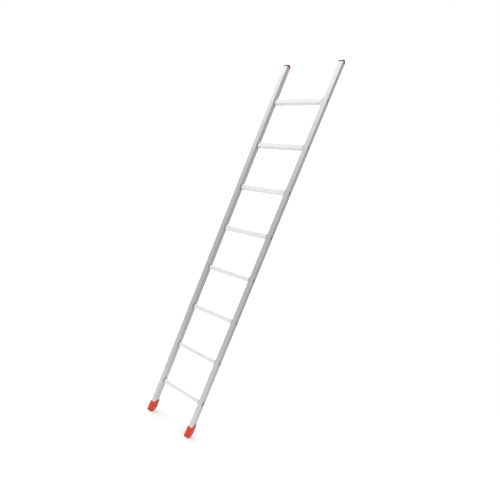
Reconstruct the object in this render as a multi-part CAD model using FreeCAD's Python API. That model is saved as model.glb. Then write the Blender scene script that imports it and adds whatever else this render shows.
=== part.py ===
"""Straight single-section aluminium ladder with eight rungs.

Units are millimetres.  The ladder stands upright: +X runs along the rungs to the
right stile, -Y is the climbing side, +Z runs up the stiles.  The origin lies on the
ground, under the middle of the ladder.
"""
import FreeCAD
import Part
import math
import os

# Overall sizes
OVERALL_WIDTH = 340.0        # outer face to outer face of the stiles
OVERALL_HEIGHT = 2444.0      # sole to the highest edge of the caps
RUNG_COUNT = 8
RUNG_PITCH = 280.0
FIRST_RUNG_HEIGHT = 238.0    # sole to the middle of the lowest rung

# Stiles: box extrusions
STILE_WIDTH = 26.0
STILE_DEPTH = 56.0
STILE_WALL = 1.4
STILE_CORNER = 2.6

# Rungs: square tubes with a ribbed tread, beaded inside and flared outside
RUNG_SIZE = 27.0
RUNG_WALL = 1.7
RUNG_CORNER = 2.4
RUNG_HOLE_CLEARANCE = 0.15   # each side, between a rung and its hole in the stile
GROOVE_COUNT = 6             # on the top and on the underside of a rung
GROOVE_PITCH = 3.2
GROOVE_DEPTH = 0.7
BEAD_PROUD = 4.6             # collar that bears on the inner face of the stile
BEAD_LAND = 4.2
BEAD_SLOPE = 1.6
LOCK_PROUD = 2.0             # bead behind the inner wall, inside the stile
LOCK_LENGTH = 3.0
FLARE_PROUD = 3.8            # rim on the outer face of the stile
FLARE_THICKNESS = 2.0
FLARE_EDGE = 1.2             # metal left at the mouth of the rim
FUNNEL_DEPTH = 5.0

# Feet: one-piece plastic shoes
FOOT_HEIGHT_FRONT = 69.0
FOOT_HEIGHT_BACK = 84.0
FOOT_SIDE_WALL = 2.5         # wall of the shoe at its top edge, on both sides
FOOT_END_WALL = 4.5          # wall of the shoe at the toe and at the back
FOOT_BOTTOM_FLARE = 5.0      # how far the sole stands out past the stile, each side
FOOT_ROUND = 2.2             # rounding of the shoe's long edges
FOOT_SEAT_HEIGHT = 18.0      # sole to the sawn end of the stile
FOOT_HEEL_RADIUS = 40.0      # rounded back of the sole, which rolls on the ground
FOOT_TOE_RADIUS = 2.5
TREAD_PITCH = 6.0
TREAD_WIDTH = 2.2
TREAD_DEPTH = 1.8
TREAD_TOE_MARGIN = 7.0
HEEL_TREADS = 4

# Plugs inside the stile ends
PLUG_CLEARANCE = 0.3
PLUG_WALL = 2.2
PLUG_RIB_WIDTH = 2.4
FOOT_PLUG_LENGTH = 26.0
CAP_PLUG_LENGTH = 24.0       # below the lowest point of the sawn end
SHELL_CLEARANCE = 0.2        # between a stile and what is slipped over it

# Top caps, on stile ends sawn at a slant that lies level when the ladder leans
TOP_SLANT = 20.5             # degrees, front edge of the stile lower than its back edge
CAP_BACK_HEIGHT = 11.0       # above the sawn end, at the back of the stile
CAP_FRONT_HEIGHT = 7.0       # above the sawn end, at the front of the stile
CAP_CREST_DROP = 3.5         # the crest halfway back, below the highest edge
CAP_LIP = 0.4                # how far a cap stands out past the stile, all round
CAP_TOP_ROUND = 3.0          # edges that run across the cap
CAP_SIDE_ROUND = 2.0         # edges along its sides, and its upright corners
CAP_WALL = 3.0

# Blind rivets through the back of each shoe
RIVET_HEIGHT = 62.0
RIVET_DIAMETER = 4.8
RIVET_HOLE_CLEARANCE = 0.05
RIVET_HEAD_DIAMETER = 9.5
RIVET_HEAD_HEIGHT = 1.3
RIVET_RECESS_CLEARANCE = 0.4 # round the head, in the shoe's recess for it
RIVET_TAIL_DIAMETER = 7.0
RIVET_TAIL_LENGTH = 5.0

# Values worked out from the sizes above
STILE_CENTRE = (OVERALL_WIDTH - STILE_WIDTH) / 2
INNER_FACE = OVERALL_WIDTH / 2 - STILE_WIDTH
OUTER_FACE = OVERALL_WIDTH / 2
STILE_BOTTOM = FOOT_SEAT_HEIGHT
STILE_TOP_BACK = OVERALL_HEIGHT - CAP_BACK_HEIGHT
STILE_TOP_FRONT = STILE_TOP_BACK - STILE_DEPTH * math.tan(math.radians(TOP_SLANT))
CAVITY_WIDTH = STILE_WIDTH - 2 * STILE_WALL
CAVITY_DEPTH = STILE_DEPTH - 2 * STILE_WALL
CAVITY_CORNER = max(STILE_CORNER - STILE_WALL, 0.4)
RUNG_HEIGHTS = [FIRST_RUNG_HEIGHT + RUNG_PITCH * step for step in range(RUNG_COUNT)]
OVERCUT = 1.0                # how far a cutting tool reaches past what it cuts

UP = FreeCAD.Vector(0, 0, 1)
ALONG_X = FreeCAD.Rotation(FreeCAD.Vector(0, 1, 0), 90)


def rounded_rectangle(width, depth, radius, height=0.0):
    """Closed outline centred on the Z axis, lying at the given height."""
    half_w, half_d = width / 2, depth / 2
    in_w, in_d = half_w - radius, half_d - radius
    diagonal = radius * math.sqrt(0.5)

    def point(x, y):
        return FreeCAD.Vector(x, y, height)

    edges = []
    for turn_x, turn_y in ((1, 1), (-1, 1), (-1, -1), (1, -1)):
        on_side = point(turn_x * half_w, turn_y * in_d)
        on_end = point(turn_x * in_w, turn_y * half_d)
        middle = point(turn_x * (in_w + diagonal), turn_y * (in_d + diagonal))
        start, finish = (on_side, on_end) if turn_x == turn_y else (on_end, on_side)
        edges.append(Part.Arc(start, middle, finish).toShape())
        if turn_x == turn_y:
            following = point(-turn_x * in_w, turn_y * half_d)
        else:
            following = point(turn_x * half_w, -turn_y * in_d)
        edges.append(Part.LineSegment(finish, following).toShape())
    return Part.Wire(edges)


def plain_rectangle(width, depth, height):
    """Closed outline with sharp corners, centred on the Z axis."""
    corners = [(-1, -1), (1, -1), (1, 1), (-1, 1)]
    points = [FreeCAD.Vector(x * width / 2, y * depth / 2, height) for x, y in corners]
    return Part.makePolygon(points + points[:1])


def bar(width, depth, radius, low, high):
    """Solid bar of rounded rectangular section, standing from low to high."""
    face = Part.Face(rounded_rectangle(width, depth, radius, low))
    return face.extrude(UP * (high - low))


def taper(low_size, high_size, low, high):
    """Solid between two outlines, each given as (width, depth, radius)."""
    outlines = [rounded_rectangle(*low_size, low), rounded_rectangle(*high_size, high)]
    return Part.makeLoft(outlines, True, True)


def square(size, radius):
    """Outline sizes of a square section, for taper()."""
    return (size, size, radius)


def lay_along_x(shape):
    """Turn a shape that was built along Z so that it runs along X."""
    laid = shape.copy()
    laid.Placement = FreeCAD.Placement(FreeCAD.Vector(), ALONG_X)
    return laid


def mirrored(shape):
    """The same shape on the other side of the ladder."""
    return shape.mirror(FreeCAD.Vector(), FreeCAD.Vector(1, 0, 0))


def moved(shape, x=0.0, y=0.0, z=0.0):
    """A copy of the shape, shifted."""
    return shape.translated(FreeCAD.Vector(x, y, z))


def make_stile():
    """Right stile: box tube, sawn at a slant on top, with a square hole for each rung."""
    tube = bar(STILE_WIDTH, STILE_DEPTH, STILE_CORNER, STILE_BOTTOM, OVERALL_HEIGHT)
    cavity = bar(CAVITY_WIDTH, CAVITY_DEPTH, CAVITY_CORNER,
                 STILE_BOTTOM - OVERCUT, OVERALL_HEIGHT + OVERCUT)
    hole_size = RUNG_SIZE + 2 * RUNG_HOLE_CLEARANCE
    reach = STILE_WIDTH / 2 + OVERCUT
    punch = lay_along_x(bar(hole_size, hole_size, RUNG_CORNER, -reach, reach))
    punches = [moved(punch, z=height) for height in RUNG_HEIGHTS]
    stile = tube.cut(cavity).cut(Part.Compound(punches)).cut(above_saw_cut())
    stile = moved(stile, x=STILE_CENTRE)
    return stile.cut(rivet_hole())


def make_rung():
    """Rung centred on the origin, running along X through both stiles."""
    outside = OUTER_FACE + FLARE_THICKNESS
    tube = bar(RUNG_SIZE, RUNG_SIZE, RUNG_CORNER, -OUTER_FACE, OUTER_FACE)
    for end in (1, -1):
        for swelling in (inner_bead(), locking_bead(), outer_rim()):
            piece = swelling if end == 1 else swelling.mirror(FreeCAD.Vector(), UP)
            tube = tube.fuse(piece)
    bore_size = RUNG_SIZE - 2 * RUNG_WALL
    bore_corner = RUNG_CORNER - RUNG_WALL
    tube = tube.cut(bar(bore_size, bore_size, bore_corner, -outside, outside))
    funnel = rim_funnel(bore_size, bore_corner)
    tube = tube.cut(funnel).cut(funnel.mirror(FreeCAD.Vector(), UP))
    tube = tube.cut(Part.Compound(tread_grooves()))
    return lay_along_x(tube.removeSplitter())


def inner_bead():
    """Collar swaged up against the inner face of the stile."""
    land_size = RUNG_SIZE + 2 * BEAD_PROUD
    land_corner = RUNG_CORNER + BEAD_PROUD
    land_start = INNER_FACE - BEAD_LAND
    land = bar(land_size, land_size, land_corner, land_start, INNER_FACE)
    slope = taper(square(RUNG_SIZE, RUNG_CORNER), square(land_size, land_corner),
                  land_start - BEAD_SLOPE, land_start)
    return slope.fuse(land)


def locking_bead():
    """Bead inside the stile, behind its inner wall."""
    size = RUNG_SIZE + 2 * LOCK_PROUD
    corner = RUNG_CORNER + LOCK_PROUD
    start = INNER_FACE + STILE_WALL
    return taper(square(size, corner), square(RUNG_SIZE, RUNG_CORNER),
                 start, start + LOCK_LENGTH)


def outer_rim():
    """Flared rim that closes on the outer face of the stile."""
    size = RUNG_SIZE + 2 * FLARE_PROUD
    corner = RUNG_CORNER + FLARE_PROUD
    mouth = size - FLARE_THICKNESS
    return taper(square(size, corner), square(mouth, corner - FLARE_THICKNESS / 2),
                 OUTER_FACE, OUTER_FACE + FLARE_THICKNESS)


def rim_funnel(bore_size, bore_corner):
    """Opening of the rung's end, from its bore out to the rim."""
    neck = (bore_size + RUNG_SIZE) / 2
    neck_corner = (bore_corner + RUNG_CORNER) / 2
    rim = RUNG_SIZE + 2 * FLARE_PROUD - FLARE_THICKNESS - 2 * FLARE_EDGE
    rim_corner = RUNG_CORNER + FLARE_PROUD - FLARE_THICKNESS / 2 - FLARE_EDGE
    deep = taper(square(bore_size, bore_corner), square(neck, neck_corner),
                 OUTER_FACE - FUNNEL_DEPTH, OUTER_FACE)
    mouth = taper(square(neck, neck_corner), square(rim, rim_corner),
                  OUTER_FACE, OUTER_FACE + FLARE_THICKNESS)
    return deep.fuse(mouth)


def tread_grooves():
    """V grooves along the top and the underside of a rung, between its beads."""
    half_length = INNER_FACE - BEAD_LAND - BEAD_SLOPE
    first = -GROOVE_PITCH * (GROOVE_COUNT - 1) / 2
    grooves = []
    for side in (1, -1):
        surface = side * RUNG_SIZE / 2
        bottom = surface - side * GROOVE_DEPTH
        above = surface + side * GROOVE_DEPTH
        for index in range(GROOVE_COUNT):
            middle = first + GROOVE_PITCH * index
            corners = [(bottom, middle), (above, middle - 2 * GROOVE_DEPTH),
                       (above, middle + 2 * GROOVE_DEPTH)]
            points = [FreeCAD.Vector(x, y, -half_length) for x, y in corners]
            face = Part.Face(Part.makePolygon(points + points[:1]))
            grooves.append(face.extrude(UP * (2 * half_length)))
    return grooves


def make_plug(low, high):
    """Hollow plug that fits the cavity of a stile, gripped by ribs on its sides."""
    width = CAVITY_WIDTH - 2 * PLUG_CLEARANCE
    depth = CAVITY_DEPTH - 2 * PLUG_CLEARANCE
    plug = bar(width, depth, CAVITY_CORNER, low, high)
    rib_height = high - low
    for across, along in ((CAVITY_WIDTH, PLUG_RIB_WIDTH), (PLUG_RIB_WIDTH, CAVITY_DEPTH)):
        corner = FreeCAD.Vector(-across / 2, -along / 2, low)
        plug = plug.fuse(Part.makeBox(across, along, rib_height, corner))
    return plug


def plug_hollow(low, high):
    """Space inside a plug."""
    width = CAVITY_WIDTH - 2 * PLUG_CLEARANCE - 2 * PLUG_WALL
    depth = CAVITY_DEPTH - 2 * PLUG_CLEARANCE - 2 * PLUG_WALL
    return bar(width, depth, CAVITY_CORNER, low, high)


def foot_side_outline():
    """Side view of a shoe, in the YZ plane: upright toe, sole and rounded heel."""
    front = -STILE_DEPTH / 2 - SHELL_CLEARANCE - FOOT_END_WALL
    back = -front
    heel_y = back - FOOT_HEEL_RADIUS
    toe_y = front + FOOT_TOE_RADIUS
    diagonal = math.sqrt(0.5)

    def point(y, z):
        return FreeCAD.Vector(0, y, z)

    heel = Part.Arc(point(heel_y, 0),
                    point(heel_y + FOOT_HEEL_RADIUS * diagonal,
                          FOOT_HEEL_RADIUS * (1 - diagonal)),
                    point(back, FOOT_HEEL_RADIUS))
    toe = Part.Arc(point(front, FOOT_TOE_RADIUS),
                   point(toe_y - FOOT_TOE_RADIUS * diagonal,
                         FOOT_TOE_RADIUS * (1 - diagonal)),
                   point(toe_y, 0))
    sole = Part.LineSegment(point(toe_y, 0), point(heel_y, 0))
    rear = Part.LineSegment(point(back, FOOT_HEEL_RADIUS), point(back, FOOT_HEIGHT_BACK))
    top = Part.LineSegment(point(back, FOOT_HEIGHT_BACK), point(front, FOOT_HEIGHT_FRONT))
    toe_cap = Part.LineSegment(point(front, FOOT_HEIGHT_FRONT),
                               point(front, FOOT_TOE_RADIUS))
    return Part.Wire([line.toShape() for line in (sole, heel, rear, top, toe_cap, toe)])


def sole_treads():
    """Grooves across the sole, carried on round the heel."""
    length = STILE_WIDTH + 2 * FOOT_BOTTOM_FLARE + 2 * OVERCUT
    depth = TREAD_DEPTH + OVERCUT
    front = -STILE_DEPTH / 2 - SHELL_CLEARANCE - FOOT_END_WALL
    heel_y = -front - FOOT_HEEL_RADIUS
    cutter = Part.makeBox(length, TREAD_WIDTH, depth,
                          FreeCAD.Vector(-length / 2, -TREAD_WIDTH / 2, -OVERCUT))
    treads = []
    place = heel_y
    while place > front + TREAD_TOE_MARGIN:
        treads.append(moved(cutter, y=place))
        place -= TREAD_PITCH
    axle = FreeCAD.Vector(0, heel_y, FOOT_HEEL_RADIUS)
    step = math.degrees(TREAD_PITCH / FOOT_HEEL_RADIUS)
    for index in range(1, HEEL_TREADS + 1):
        turned = moved(cutter, y=heel_y)
        turned.rotate(axle, FreeCAD.Vector(1, 0, 0), step * index)
        treads.append(turned)
    return treads


def rivet_hole():
    """Hole for the right shoe's rivet, through the shoe and the stile's back wall."""
    radius = RIVET_DIAMETER / 2 + RIVET_HOLE_CLEARANCE
    start = FreeCAD.Vector(STILE_CENTRE, CAVITY_DEPTH / 2 - OVERCUT, RIVET_HEIGHT)
    length = STILE_WALL + SHELL_CLEARANCE + FOOT_END_WALL + 2 * OVERCUT
    return Part.makeCylinder(radius, length, start, FreeCAD.Vector(0, 1, 0))


def rivet_recess():
    """Recess in the back of the right shoe that takes the rivet's head."""
    radius = RIVET_HEAD_DIAMETER / 2 + RIVET_RECESS_CLEARANCE
    seat = STILE_DEPTH / 2 + SHELL_CLEARANCE + FOOT_END_WALL - RIVET_HEAD_HEIGHT
    start = FreeCAD.Vector(STILE_CENTRE, seat, RIVET_HEIGHT)
    return Part.makeCylinder(radius, RIVET_HEAD_HEIGHT + OVERCUT, start,
                             FreeCAD.Vector(0, 1, 0))


def shoe_edges(block):
    """Edges to round: all that run up the shoe or along its sole and heel."""
    found = []
    for edge in block.Edges:
        box = edge.BoundBox
        runs_across = box.XLength > STILE_WIDTH / 2
        on_top = box.ZMin >= FOOT_HEIGHT_FRONT - FOOT_ROUND
        if not runs_across and not on_top:
            found.append(edge)
    return found


def shoe_block():
    """Outer shape of a shoe: wider at the sole, round at the heel, sloped on top."""
    depth = STILE_DEPTH + 2 * (SHELL_CLEARANCE + FOOT_END_WALL)
    half_width = STILE_WIDTH / 2 + FOOT_BOTTOM_FLARE
    top_width = STILE_WIDTH + 2 * (SHELL_CLEARANCE + FOOT_SIDE_WALL)
    sole = plain_rectangle(2 * half_width, depth, 0.0)
    top = plain_rectangle(top_width, depth, FOOT_HEIGHT_BACK)
    wedge = Part.makeLoft([sole, top], True, True)
    side = moved(Part.Face(foot_side_outline()), x=-half_width - OVERCUT)
    profile = side.extrude(FreeCAD.Vector(2 * (half_width + OVERCUT), 0, 0))
    block = wedge.common(profile)
    return block.makeFillet(FOOT_ROUND, shoe_edges(block))


def make_foot():
    """Right shoe: socket round the stile's end, plug inside it, treaded sole."""
    socket = bar(STILE_WIDTH + 2 * SHELL_CLEARANCE, STILE_DEPTH + 2 * SHELL_CLEARANCE,
                 STILE_CORNER, FOOT_SEAT_HEIGHT, FOOT_HEIGHT_BACK + OVERCUT)
    foot = shoe_block().cut(socket)
    plug_top = FOOT_SEAT_HEIGHT + FOOT_PLUG_LENGTH
    foot = foot.fuse(make_plug(FOOT_SEAT_HEIGHT, plug_top))
    foot = foot.cut(plug_hollow(FOOT_SEAT_HEIGHT - PLUG_WALL, plug_top + OVERCUT))
    foot = foot.cut(Part.Compound(sole_treads()))
    foot = moved(foot.removeSplitter(), x=STILE_CENTRE)
    return foot.cut(rivet_hole()).cut(rivet_recess())


def make_rivet():
    """Blind rivet of the right shoe, its domed head sunk in the shoe's back."""
    outside = STILE_DEPTH / 2 + SHELL_CLEARANCE + FOOT_END_WALL - RIVET_HEAD_HEIGHT
    inside = CAVITY_DEPTH / 2
    head_radius = RIVET_HEAD_DIAMETER / 2
    ball_radius = (head_radius ** 2 + RIVET_HEAD_HEIGHT ** 2) / (2 * RIVET_HEAD_HEIGHT)
    backwards = FreeCAD.Vector(0, 1, 0)
    centre = FreeCAD.Vector(STILE_CENTRE, 0, RIVET_HEIGHT)
    shank = Part.makeCylinder(RIVET_DIAMETER / 2, outside - inside,
                              centre + backwards * inside, backwards)
    disc = Part.makeCylinder(head_radius, RIVET_HEAD_HEIGHT,
                             centre + backwards * outside, backwards)
    ball_centre = centre + backwards * (outside + RIVET_HEAD_HEIGHT - ball_radius)
    head = disc.common(Part.makeSphere(ball_radius, ball_centre))
    tail = Part.makeCylinder(RIVET_TAIL_DIAMETER / 2, RIVET_TAIL_LENGTH,
                             centre + backwards * (inside - RIVET_TAIL_LENGTH), backwards)
    return shank.fuse(head).fuse(tail).removeSplitter()


def slab_across(points):
    """Slab as wide as any piece of a stile end, from its side view as (y, z) points."""
    reach = STILE_WIDTH / 2 + CAP_LIP + OVERCUT
    outline = [FreeCAD.Vector(-reach, y, z) for y, z in points]
    face = Part.Face(Part.makePolygon(outline + outline[:1]))
    return face.extrude(FreeCAD.Vector(2 * reach, 0, 0))


def above_saw_cut():
    """Everything above the slanted end of a stile."""
    rise = math.tan(math.radians(TOP_SLANT))
    reach = STILE_DEPTH / 2 + CAP_LIP + OVERCUT
    middle = (STILE_TOP_FRONT + STILE_TOP_BACK) / 2
    over = OVERALL_HEIGHT + OVERCUT
    return slab_across([(-reach, middle - reach * rise), (reach, middle + reach * rise),
                        (reach, over), (-reach, over)])


def below_cap_top(drop, low):
    """Everything from a height up to the cap's top, lowered by the given drop."""
    reach = STILE_DEPTH / 2 + CAP_LIP
    front = STILE_TOP_FRONT + CAP_FRONT_HEIGHT - drop
    crest = OVERALL_HEIGHT - CAP_CREST_DROP - drop
    return slab_across([(-reach, low), (reach, low), (reach, OVERALL_HEIGHT - drop),
                        (0, crest), (-reach, front)])


def above_saw_cut_edges(block):
    """Edges of a cap's head that don't lie on the sawn end."""
    rise = math.tan(math.radians(TOP_SLANT))
    middle = (STILE_TOP_FRONT + STILE_TOP_BACK) / 2
    found = []
    for edge in block.Edges:
        heights = [vertex.Z - middle - vertex.Y * rise for vertex in edge.Vertexes]
        if max(heights) > CAP_SIDE_ROUND:
            found.append(edge)
    return found


def cap_head():
    """Outside of a cap: sloped from the front up to a crest, nearly level behind it."""
    width = STILE_WIDTH + 2 * CAP_LIP
    depth = STILE_DEPTH + 2 * CAP_LIP
    low = STILE_TOP_FRONT - CAP_FRONT_HEIGHT
    height = OVERALL_HEIGHT - low
    block = Part.makeBox(width, depth, height, FreeCAD.Vector(-width / 2, -depth / 2, low))
    block = block.common(below_cap_top(0.0, low)).common(above_saw_cut())
    across = [edge for edge in above_saw_cut_edges(block)
              if edge.BoundBox.XLength > width / 2]
    block = block.makeFillet(CAP_TOP_ROUND, across)
    along = [edge for edge in above_saw_cut_edges(block)
             if edge.BoundBox.XLength < width / 2]
    return block.makeFillet(CAP_SIDE_ROUND, along)


def make_cap():
    """Right top cap: head flush with the stile, and a hollow plug inside the stile."""
    plug_end = STILE_TOP_FRONT - CAP_PLUG_LENGTH
    plug = make_plug(plug_end, STILE_TOP_BACK).cut(above_saw_cut())
    hollow = plug_hollow(plug_end - OVERCUT, OVERALL_HEIGHT)
    hollow = hollow.common(below_cap_top(CAP_WALL, plug_end - OVERCUT))
    cap = cap_head().fuse(plug).cut(hollow)
    return moved(cap.removeSplitter(), x=STILE_CENTRE)


def main():
    """Write one STEP file for each piece of the ladder."""
    os.makedirs("parts", exist_ok=True)
    pieces = {}
    for name, right_piece in (("stile", make_stile()), ("foot", make_foot()),
                              ("foot_rivet", make_rivet()), ("top_cap", make_cap())):
        pieces["right_" + name] = right_piece
        pieces["left_" + name] = mirrored(right_piece)
    rung = make_rung()
    for number, height in enumerate(RUNG_HEIGHTS, start=1):
        pieces["rung_" + str(number)] = moved(rung, z=height)
    for name, shape in pieces.items():
        shape.exportStep("parts/" + name + ".step")
        print(name, "solids", len(shape.Solids), "valid", shape.isValid(),
              "volume", round(shape.Volume, 1))


main()
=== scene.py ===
"""Looks of a straight aluminium ladder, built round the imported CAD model."""
import math
import bmesh
import bpy
from mathutils import Matrix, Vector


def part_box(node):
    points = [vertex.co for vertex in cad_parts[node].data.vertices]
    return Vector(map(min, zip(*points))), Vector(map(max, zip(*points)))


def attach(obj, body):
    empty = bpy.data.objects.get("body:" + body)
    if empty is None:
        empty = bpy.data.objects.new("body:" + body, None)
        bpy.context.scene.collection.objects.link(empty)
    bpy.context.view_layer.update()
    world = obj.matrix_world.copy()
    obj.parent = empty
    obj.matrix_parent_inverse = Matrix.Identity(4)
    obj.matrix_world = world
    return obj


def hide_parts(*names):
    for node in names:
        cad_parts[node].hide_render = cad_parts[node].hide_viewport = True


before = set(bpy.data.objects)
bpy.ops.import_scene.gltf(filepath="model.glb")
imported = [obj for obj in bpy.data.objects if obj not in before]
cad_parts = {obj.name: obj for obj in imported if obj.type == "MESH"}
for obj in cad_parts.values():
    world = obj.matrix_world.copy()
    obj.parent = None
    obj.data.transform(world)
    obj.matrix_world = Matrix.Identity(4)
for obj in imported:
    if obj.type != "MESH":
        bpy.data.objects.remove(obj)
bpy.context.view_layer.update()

# Camera: metres, degrees, millimetres of lens on a 36 mm sensor
CAMERA_PLACE = (0.6989, -1.7565, 0.9051)
CAMERA_AZIMUTH = 31.82
CAMERA_ELEVATION = 4.829
CAMERA_ROLL = 21.108
CAMERA_LENS = 20.463
CAMERA_SENSOR = 36.0
CAMERA_SHIFT = (0.1743, 0.1043)

FLOOR_HALF = 40.0
FLOOR_TONE = (0.94, 0.94, 0.94, 1)

# Studio: how bright its walls are, and what its front box, ceiling and floor add to them
WALL_FRONT = 0.58
WALL_BEHIND = 0.37
WALL_RIGHT = 0.49
FRONT_BOX = 0.72
CEILING = 1.2
FLOOR_LIFT = 0.44
BACKDROP = 1.3

# Colours: where each finish is light, and where it is dark
STILE_TONES = ((0.84, 0.845, 0.85, 1), (0.80, 0.805, 0.81, 1))
RUNG_TONES = ((0.945, 0.947, 0.95, 1), (0.91, 0.912, 0.915, 1))
FOOT_TONES = ((0.84, 0.050, 0.010, 1), (0.74, 0.042, 0.010, 1))
CAP_TONES = ((0.29, 0.034, 0.026, 1), (0.23, 0.028, 0.021, 1))
RIM_TONE = (0.62, 0.622, 0.625, 1)        # rolled rims of a rung
# Collars painted darker than the rung, as painted shade where a rung meets a stile
COLLAR_SHADE_TONE = (0.42, 0.422, 0.425, 1)
BORE_SHADE_TONE = (0.16, 0.16, 0.165, 1)        # painted shade inside a rung's bore
FOOT_RIM_SHADE_TONE = (0.17, 0.055, 0.04, 1)        # painted shade under the rim of a foot, on its two sides
SCUFF_TONE = (0.20, 0.045, 0.03, 1)

# Grain of the finishes, in cycles per metre, and the depth of their relief in metres
DIE_LINES = 350.0
DIE_LINES_ALONG = 3.0
METAL_CLOUDS = (9.0, 9.0, 9.0)
SCRATCHES = (60.0, 60.0, 900.0)
METAL_RELIEF = 0.000005
PLASTIC_GRAIN = (1400.0, 1400.0, 1400.0)
PLASTIC_CLOUDS = (35.0, 35.0, 35.0)
PLASTIC_FLOW = (60.0, 60.0, 12.0)
PLASTIC_RELIEF = 0.00008

# Stiles and rungs, from the CAD nodes
STILE_LOW, STILE_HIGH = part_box("right_stile")
STILE_INSIDE = STILE_LOW.x
STILE_OUTSIDE = STILE_HIGH.x
STILE_WIDTH = STILE_OUTSIDE - STILE_INSIDE
RUNG_NAMES = sorted(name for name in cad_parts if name.startswith("rung"))
RUNG_HEIGHTS = sorted((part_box(name)[0].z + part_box(name)[1].z) / 2 for name in RUNG_NAMES)
RUNG_LOWEST = RUNG_HEIGHTS[0]
RUNG_PITCH = RUNG_HEIGHTS[1] - RUNG_HEIGHTS[0]

# Section of a rung
RUNG_HALF = 0.0135
RUNG_CORNER = 0.0024
RUNG_FLAT = RUNG_HALF - RUNG_CORNER       # half of the flat of each face
CORNER_STEPS = 6
GROOVE_COUNT = 6
GROOVE_PITCH = 0.0032
GROOVE_DEPTH = 0.0007
# One groove across its lands, in groove depths: place along the face, and depth
GROOVE_SHAPE = ((-1.25, 0.0), (-0.85, 0.15), (-0.2, 0.93), (0.0, 1.0), (0.2, 0.93), (0.85, 0.15), (1.25, 0.0))

# Outline of a rung towards its end, in metres
RIM_THICKNESS = 0.0020
# Along the tube: distance inwards from the stile's inner face, and the share of the grooves cut
TUBE_OUTLINE = ((0.0220, 1.0), (0.0170, 1.0), (0.0100, 1.0), (0.0065, 0.35))
# Collar: distance inwards from the stile's inner face, and height above the tube
COLLAR_OUTLINE = (
    (0.0059, 0.0002), (0.0053, 0.0010), (0.0048, 0.0024), (0.0044, 0.0036), (0.0039, 0.0043),
    (0.0031, 0.0046), (0.0016, 0.0046), (0.0007, 0.0045), (0.0001, 0.0041), (0.0, 0.0034), (0.0, 0.0))
# Rolled rim: distance inwards from the rung's end, and height above the tube
RIM_OUTLINE = (
    (0.0020, 0.0), (0.0020, 0.0033), (0.0018, 0.0037), (0.0013, 0.0038), (0.0007, 0.0035),
    (0.0002, 0.0030), (0.0, 0.0024))
# Mouth of the rim and the bore: distance inwards from the rung's end, and corner radius
MOUTH_OUTLINE = (
    (0.0002, 0.0042), (0.0008, 0.0036), (0.0018, 0.0029), (0.0032, 0.0020), (0.0048, 0.0012),
    (0.0070, 0.0007), (0.0500, 0.0007))

# A foot's rim, which rises from the front to the back
RIM_FRONT = 0.069
FOOT_LOW, FOOT_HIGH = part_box("right_foot")
RIM_SLOPE = (FOOT_HIGH.z - RIM_FRONT) / (FOOT_HIGH.y - FOOT_LOW.y)
RIM_MIDDLE = (FOOT_HIGH.z + RIM_FRONT) / 2


class Nodes:
    """A node tree, with one short call for each node."""

    def __init__(self, tree):
        self.tree = tree

    def add(self, kind, inputs=None, **settings):
        node = self.tree.nodes.new("ShaderNode" + kind)
        for name, value in settings.items():
            setattr(node, name, value)
        for name, value in (inputs or {}).items():
            self.put(value, node.inputs[name])
        return node

    def put(self, value, socket):
        if isinstance(value, bpy.types.NodeSocket):
            self.tree.links.new(value, socket)
        else:
            socket.default_value = value

    def math(self, operation, a, b=0.0, c=0.0):
        return self.add("Math", {0: a, 1: b, 2: c}, operation=operation).outputs[0]

    def times(self, a, b):
        return self.math("MULTIPLY", a, b)

    def vector(self, operation, a, b):
        return self.add("VectorMath", {0: a, 1: b}, operation=operation).outputs[0]

    def split(self, vector):
        """The three coordinates of a vector."""
        return self.add("SeparateXYZ", {0: vector}).outputs

    def mix(self, factor, a, b):
        node = self.add("Mix", data_type="RGBA")
        self.put(factor, node.inputs[0])
        self.put(a, node.inputs[6])
        self.put(b, node.inputs[7])
        return node.outputs[2]

    def ramp(self, value, low, high, start=0.0, end=1.0):
        """value from low to high, turned smoothly into start to end."""
        settings = {"Value": value, "From Min": low, "From Max": high, "To Min": start, "To Max": end}
        return self.add("MapRange", settings, interpolation_type="SMOOTHSTEP").outputs[0]

    def noise(self, place, stretch, detail=3.0):
        """Noise from 0 to 1, of as many cycles per metre as stretch gives for each axis."""
        scaled = self.vector("MULTIPLY", place, stretch)
        settings = {"Vector": scaled, "Scale": 1.0, "Detail": detail, "Roughness": 0.55}
        return self.add("TexNoise", settings).outputs[0]

    def bump(self, height, distance):
        return self.add("Bump", {"Height": height, "Distance": distance}).outputs[0]


def new_material(name):
    material = bpy.data.materials.new(name)
    material.use_nodes = True
    return material, Nodes(material.node_tree), material.node_tree.nodes["Principled BSDF"]


def make_camera():
    data = bpy.data.cameras.new("camera")
    data.lens = CAMERA_LENS
    data.sensor_width = CAMERA_SENSOR
    data.shift_x, data.shift_y = CAMERA_SHIFT
    camera = bpy.data.objects.new("camera", data)
    bpy.context.scene.collection.objects.link(camera)
    azimuth = Matrix.Rotation(math.radians(CAMERA_AZIMUTH), 4, "Z")
    tilt = Matrix.Rotation(math.radians(90 - CAMERA_ELEVATION), 4, "X")
    roll = Matrix.Rotation(math.radians(CAMERA_ROLL), 4, "Z")
    camera.matrix_world = Matrix.Translation(CAMERA_PLACE) @ azimuth @ tilt @ roll
    bpy.context.scene.camera = camera


def make_floor():
    """A plain pale floor, which the metal doesn't mirror: the studio stands in for it there."""
    mesh = bpy.data.meshes.new("floor")
    size = FLOOR_HALF
    corners = [(-size, -size, 0), (size, -size, 0), (size, size, 0), (-size, size, 0)]
    mesh.from_pydata(corners, [], [(0, 1, 2, 3)])
    floor = bpy.data.objects.new("floor", mesh)
    bpy.context.scene.collection.objects.link(floor)
    material, nodes, shader = new_material("floor")
    shader.inputs["Base Color"].default_value = FLOOR_TONE
    shader.inputs["Roughness"].default_value = 0.9
    shader.inputs["Specular IOR Level"].default_value = 0.2
    mesh.materials.append(material)
    floor.visible_glossy = False


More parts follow.
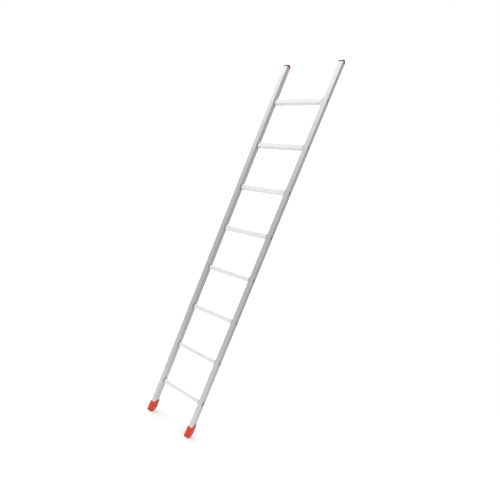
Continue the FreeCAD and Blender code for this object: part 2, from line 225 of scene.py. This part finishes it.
def make_world():
    """White for the camera, and round the ladder a studio: a bright ceiling, a bright box in
    front, a white wall behind to the left, and walls and a floor that are darker elsewhere."""
    world = bpy.data.worlds.new("studio")
    world.use_nodes = True
    nodes = Nodes(world.node_tree)
    across, along, height = nodes.split(nodes.add("TexCoord").outputs["Generated"])
    behind = nodes.ramp(along, -0.2, 0.7)
    wall_behind = nodes.ramp(across, 0.2, 0.6, WALL_BEHIND, WALL_RIGHT)
    wall = nodes.math("MULTIPLY_ADD", behind, nodes.math("SUBTRACT", wall_behind, WALL_FRONT), WALL_FRONT)
    front_box = nodes.ramp(height, 0.35, 0.8, 0.0, FRONT_BOX)
    front_box = nodes.times(front_box, nodes.ramp(across, 0.0, -0.5, 0.5, 1.6))
    front_box = nodes.times(front_box, nodes.math("SUBTRACT", 1.0, behind))
    ceiling = nodes.ramp(height, 0.72, 0.95, 0.0, CEILING)
    below = nodes.ramp(height, 0.05, -0.75, 0.0, FLOOR_LIFT)
    dim = nodes.times(nodes.ramp(height, -0.42, -0.50), nodes.ramp(along, 0.2, 0.6))
    below = nodes.times(below, nodes.math("MULTIPLY_ADD", dim, -0.9, 1.0))
    backdrop = nodes.times(nodes.ramp(across, 0.05, -0.25), nodes.ramp(along, 0.3, 0.6))
    backdrop = nodes.times(backdrop, nodes.ramp(height, -0.50, -0.42, 0.0, BACKDROP))
    level = wall
    for part in (front_box, ceiling, below):
        level = nodes.math("ADD", level, part)
    level = nodes.math("MAXIMUM", level, backdrop)
    level = nodes.math("MAXIMUM", level, nodes.add("LightPath").outputs["Is Camera Ray"])
    background = world.node_tree.nodes["Background"]
    background.inputs["Color"].default_value = (1, 1, 1, 1)
    nodes.put(level, background.inputs["Strength"])
    bpy.context.scene.world = world
    bpy.context.scene.view_settings.view_transform = "Standard"


def rung_bore(nodes, place):
    """1 in the bore of any rung, and 0 outside it."""
    across, along, height = nodes.split(place)
    above_lowest = nodes.math("SUBTRACT", height, RUNG_LOWEST - RUNG_PITCH / 2)
    level = nodes.math("SUBTRACT", nodes.math("FLOORED_MODULO", above_lowest, RUNG_PITCH), RUNG_PITCH / 2)
    reach = nodes.math("MAXIMUM", nodes.math("ABSOLUTE", level), nodes.math("ABSOLUTE", along))
    return nodes.ramp(reach, RUNG_HALF - 0.0010, RUNG_HALF - 0.0017)


def rung_rims(nodes, place, normal):
    """1 on the rims outside the stiles and on faces that look along the rung, and 0 elsewhere."""
    across = nodes.math("ABSOLUTE", nodes.split(place)[0])
    facing = nodes.math("ABSOLUTE", nodes.split(normal)[0])
    rims = nodes.ramp(across, STILE_OUTSIDE - 0.0006, STILE_OUTSIDE + 0.0002)
    return nodes.math("MAXIMUM", rims, nodes.ramp(facing, 0.45, 0.85))


def rung_collars(nodes, place):
    """1 on a rung's collars, from where they rise to the stiles' outer faces, and 0 elsewhere."""
    across = nodes.math("ABSOLUTE", nodes.split(place)[0])
    start = nodes.ramp(across, STILE_INSIDE - 0.0064, STILE_INSIDE - 0.0054)
    return nodes.times(start, nodes.ramp(across, STILE_OUTSIDE - 0.0002, STILE_OUTSIDE - 0.0010))


def aluminium(name, along, roughness, tones, metallic=1.0):
    """Extruded aluminium: die lines along one axis, dull clouds and a few fine scratches."""
    material, nodes, shader = new_material(name)
    texture = nodes.add("TexCoord")
    place, normal = texture.outputs["Object"], texture.outputs["Normal"]
    lines = nodes.noise(place, [DIE_LINES_ALONG if axis == along else DIE_LINES for axis in "XYZ"])
    clouds = nodes.noise(place, METAL_CLOUDS, detail=5.0)
    scratches = nodes.ramp(nodes.noise(place, SCRATCHES, detail=1.0), 0.66, 0.72)
    scratches = nodes.times(scratches, nodes.ramp(clouds, 0.48, 0.6))
    mottle = nodes.math("MULTIPLY_ADD", lines, 0.4, nodes.times(clouds, 0.6))
    tone = nodes.mix(nodes.ramp(mottle, 0.38, 0.62), *tones)
    shader.inputs["Metallic"].default_value = metallic
    if along == "X":
        tone = nodes.mix(rung_rims(nodes, place, normal), tone, RIM_TONE)
        # The collars are painted darker, and made more metallic, as painted shade where a rung meets a stile
        collars = rung_collars(nodes, place)
        tone = nodes.mix(collars, tone, COLLAR_SHADE_TONE)
        # The bore is painted dark as shade inside the tube
        tone = nodes.mix(rung_bore(nodes, place), tone, BORE_SHADE_TONE)
        underside = nodes.ramp(nodes.split(normal)[2], -0.5, -0.85, metallic, metallic + 0.3)
        nodes.put(nodes.math("MAXIMUM", underside, nodes.times(collars, 0.9)), shader.inputs["Metallic"])
    nodes.put(tone, shader.inputs["Base Color"])
    gloss = nodes.ramp(mottle, 0.35, 0.65, roughness - 0.05, roughness + 0.06)
    nodes.put(nodes.math("MULTIPLY_ADD", scratches, 0.12, gloss), shader.inputs["Roughness"])
    shader.inputs["Anisotropic"].default_value = 0.6
    axis = [1.0 if letter == along else 0.0 for letter in "XYZ"]
    across_lines = nodes.vector("CROSS_PRODUCT", normal, axis)
    # A little is added, so that a face across the axis has a direction too
    nodes.put(nodes.vector("ADD", across_lines, (0.02, 0.02, 0.02)), shader.inputs["Tangent"])
    relief = nodes.math("MULTIPLY_ADD", scratches, -0.6, lines)
    nodes.put(nodes.bump(relief, METAL_RELIEF), shader.inputs["Normal"])
    return material


def foot_rim_shade(nodes, place, normal):
    """1 in the band of painted shade under a foot's rim, on the two sides of the foot, and 0 elsewhere."""
    across, along, height = nodes.split(place)
    rim = nodes.math("MULTIPLY_ADD", along, RIM_SLOPE, RIM_MIDDLE)
    below = nodes.math("SUBTRACT", rim, height)
    band = nodes.times(nodes.ramp(below, 0.0004, 0.0018), nodes.ramp(below, 0.0090, 0.0068))
    facing = nodes.math("ABSOLUTE", nodes.split(normal)[0])
    return nodes.times(band, nodes.ramp(facing, 0.75, 0.95))


def plastic(name, tones, specular, rim_shaded=False):
    """Moulded plastic: a fine grain, slight flow clouds, and scuffs near the ground."""
    material, nodes, shader = new_material(name)
    texture = nodes.add("TexCoord")
    place, normal = texture.outputs["Object"], texture.outputs["Normal"]
    grain = nodes.noise(place, PLASTIC_GRAIN)
    clouds = nodes.noise(place, PLASTIC_CLOUDS, detail=5.0)
    flow = nodes.noise(place, PLASTIC_FLOW, detail=2.0)
    mottle = nodes.math("MULTIPLY_ADD", flow, 0.5, nodes.times(clouds, 0.5))
    tone = nodes.mix(nodes.ramp(mottle, 0.36, 0.64), *tones)
    scuffs = nodes.times(nodes.ramp(nodes.split(place)[2], 0.022, 0.002), nodes.ramp(clouds, 0.42, 0.58))
    tone = nodes.mix(nodes.times(scuffs, 0.55), tone, SCUFF_TONE)
    # On the feet, a band under the rim is darkened as painted shade
    if rim_shaded:
        tone = nodes.mix(foot_rim_shade(nodes, place, normal), tone, FOOT_RIM_SHADE_TONE)
    nodes.put(tone, shader.inputs["Base Color"])
    shader.inputs["Specular IOR Level"].default_value = specular
    gloss = nodes.ramp(clouds, 0.3, 0.7, 0.40, 0.55)
    nodes.put(nodes.math("MULTIPLY_ADD", scuffs, 0.25, gloss), shader.inputs["Roughness"])
    nodes.put(nodes.bump(grain, PLASTIC_RELIEF), shader.inputs["Normal"])
    return material


def rung_ring(x, radius, groove):
    """Points of one cross-section of a rung: the square of its corner centres, grown by radius,
    with the tread grooves cut into its top and its underside."""
    points = []
    for side in range(4):
        turn = side * math.pi / 2
        flat = [(-RUNG_FLAT, 0.0)]
        if side % 2 == 0:
            for index in range(GROOVE_COUNT):
                middle = GROOVE_PITCH * (index - (GROOVE_COUNT - 1) / 2)
                flat += [(middle + place * GROOVE_DEPTH, depth * GROOVE_DEPTH * groove)
                         for place, depth in GROOVE_SHAPE]
        flat.append((RUNG_FLAT, 0.0))
        for along, depth in flat:
            points.append((along, RUNG_FLAT + radius - depth, turn))
        for step in range(1, CORNER_STEPS):
            angle = step / CORNER_STEPS * math.pi / 2
            points.append((RUNG_FLAT + radius * math.sin(angle), RUNG_FLAT + radius * math.cos(angle), turn))
    return [(x, along * math.cos(turn) + out * math.sin(turn), out * math.cos(turn) - along * math.sin(turn))
            for along, out, turn in points]


def rung_stations(end):
    """Every cross-section of a rung's skin, once round from end to end and back through the
    bore: its place along the rung, its corner radius, and the share of the grooves cut."""
    inside = end - RIM_THICKNESS - STILE_WIDTH
    outer = [(inside - back, RUNG_CORNER, groove) for back, groove in TUBE_OUTLINE]
    outer += [(inside - back, RUNG_CORNER + proud, 0.0) for back, proud in COLLAR_OUTLINE]
    outer += [(end - back, RUNG_CORNER + proud, 0.0) for back, proud in RIM_OUTLINE]
    bore = [(end - back, radius, 0.0) for back, radius in MOUTH_OUTLINE]
    stations = [(-x, radius, groove) for x, radius, groove in reversed(outer)] + outer
    return stations + bore + [(-x, radius, groove) for x, radius, groove in reversed(bore)]


def make_rung(name, material):
    """A rung with its swaged collars and rolled rims, in one closed skin inside and out."""
    low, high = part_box(name)
    level = (low.z + high.z) / 2
    rings = [rung_ring(*station) for station in rung_stations(high.x)]
    count = len(rings[0])
    points = [(x, y, z + level) for ring in rings for x, y, z in ring]
    faces = []
    for i in range(len(rings)):
        after = (i + 1) % len(rings)
        for j in range(count):
            k = (j + 1) % count
            faces.append((i * count + j, i * count + k, after * count + k, after * count + j))
    mesh = bpy.data.meshes.new(name + "_piece")
    mesh.from_pydata(points, [], faces)
    shell = bmesh.new()
    shell.from_mesh(mesh)
    bmesh.ops.recalc_face_normals(shell, faces=shell.faces)
    for face in shell.faces:
        face.smooth = True
    shell.to_mesh(mesh)
    shell.free()
    mesh.materials.append(material)
    piece = bpy.data.objects.new(name + "_piece", mesh)
    bpy.context.scene.collection.objects.link(piece)
    piece.modifiers.new("flats", "WEIGHTED_NORMAL").keep_sharp = False
    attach(piece, "root")
    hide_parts(name)


make_camera()
make_floor()
make_world()
rung_metal = aluminium("rung_aluminium_lines", "X", 0.42, RUNG_TONES, metallic=0.5)
finishes = {
    "stile": aluminium("stile_aluminium_lines", "Z", 0.30, STILE_TONES),
    "rung": rung_metal,
    "rivet": aluminium("rivet_aluminium_turned", "Y", 0.3, STILE_TONES),
    "foot": plastic("foot_orange", FOOT_TONES, 0.4, rim_shaded=True),
    "cap": plastic("cap_red", CAP_TONES, 0.22),
}
for name in RUNG_NAMES:
    make_rung(name, rung_metal)
for name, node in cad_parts.items():
    # A foot's rivet is named after the foot, so it is looked for first
    kind = next(kind for kind in ("rivet", "foot", "cap", "stile", "rung") if kind in name)
    for slot in node.material_slots:
        slot.material = finishes[kind]
    if kind == "foot":
        node.visible_diffuse = False      # so that it throws no red light on the floor
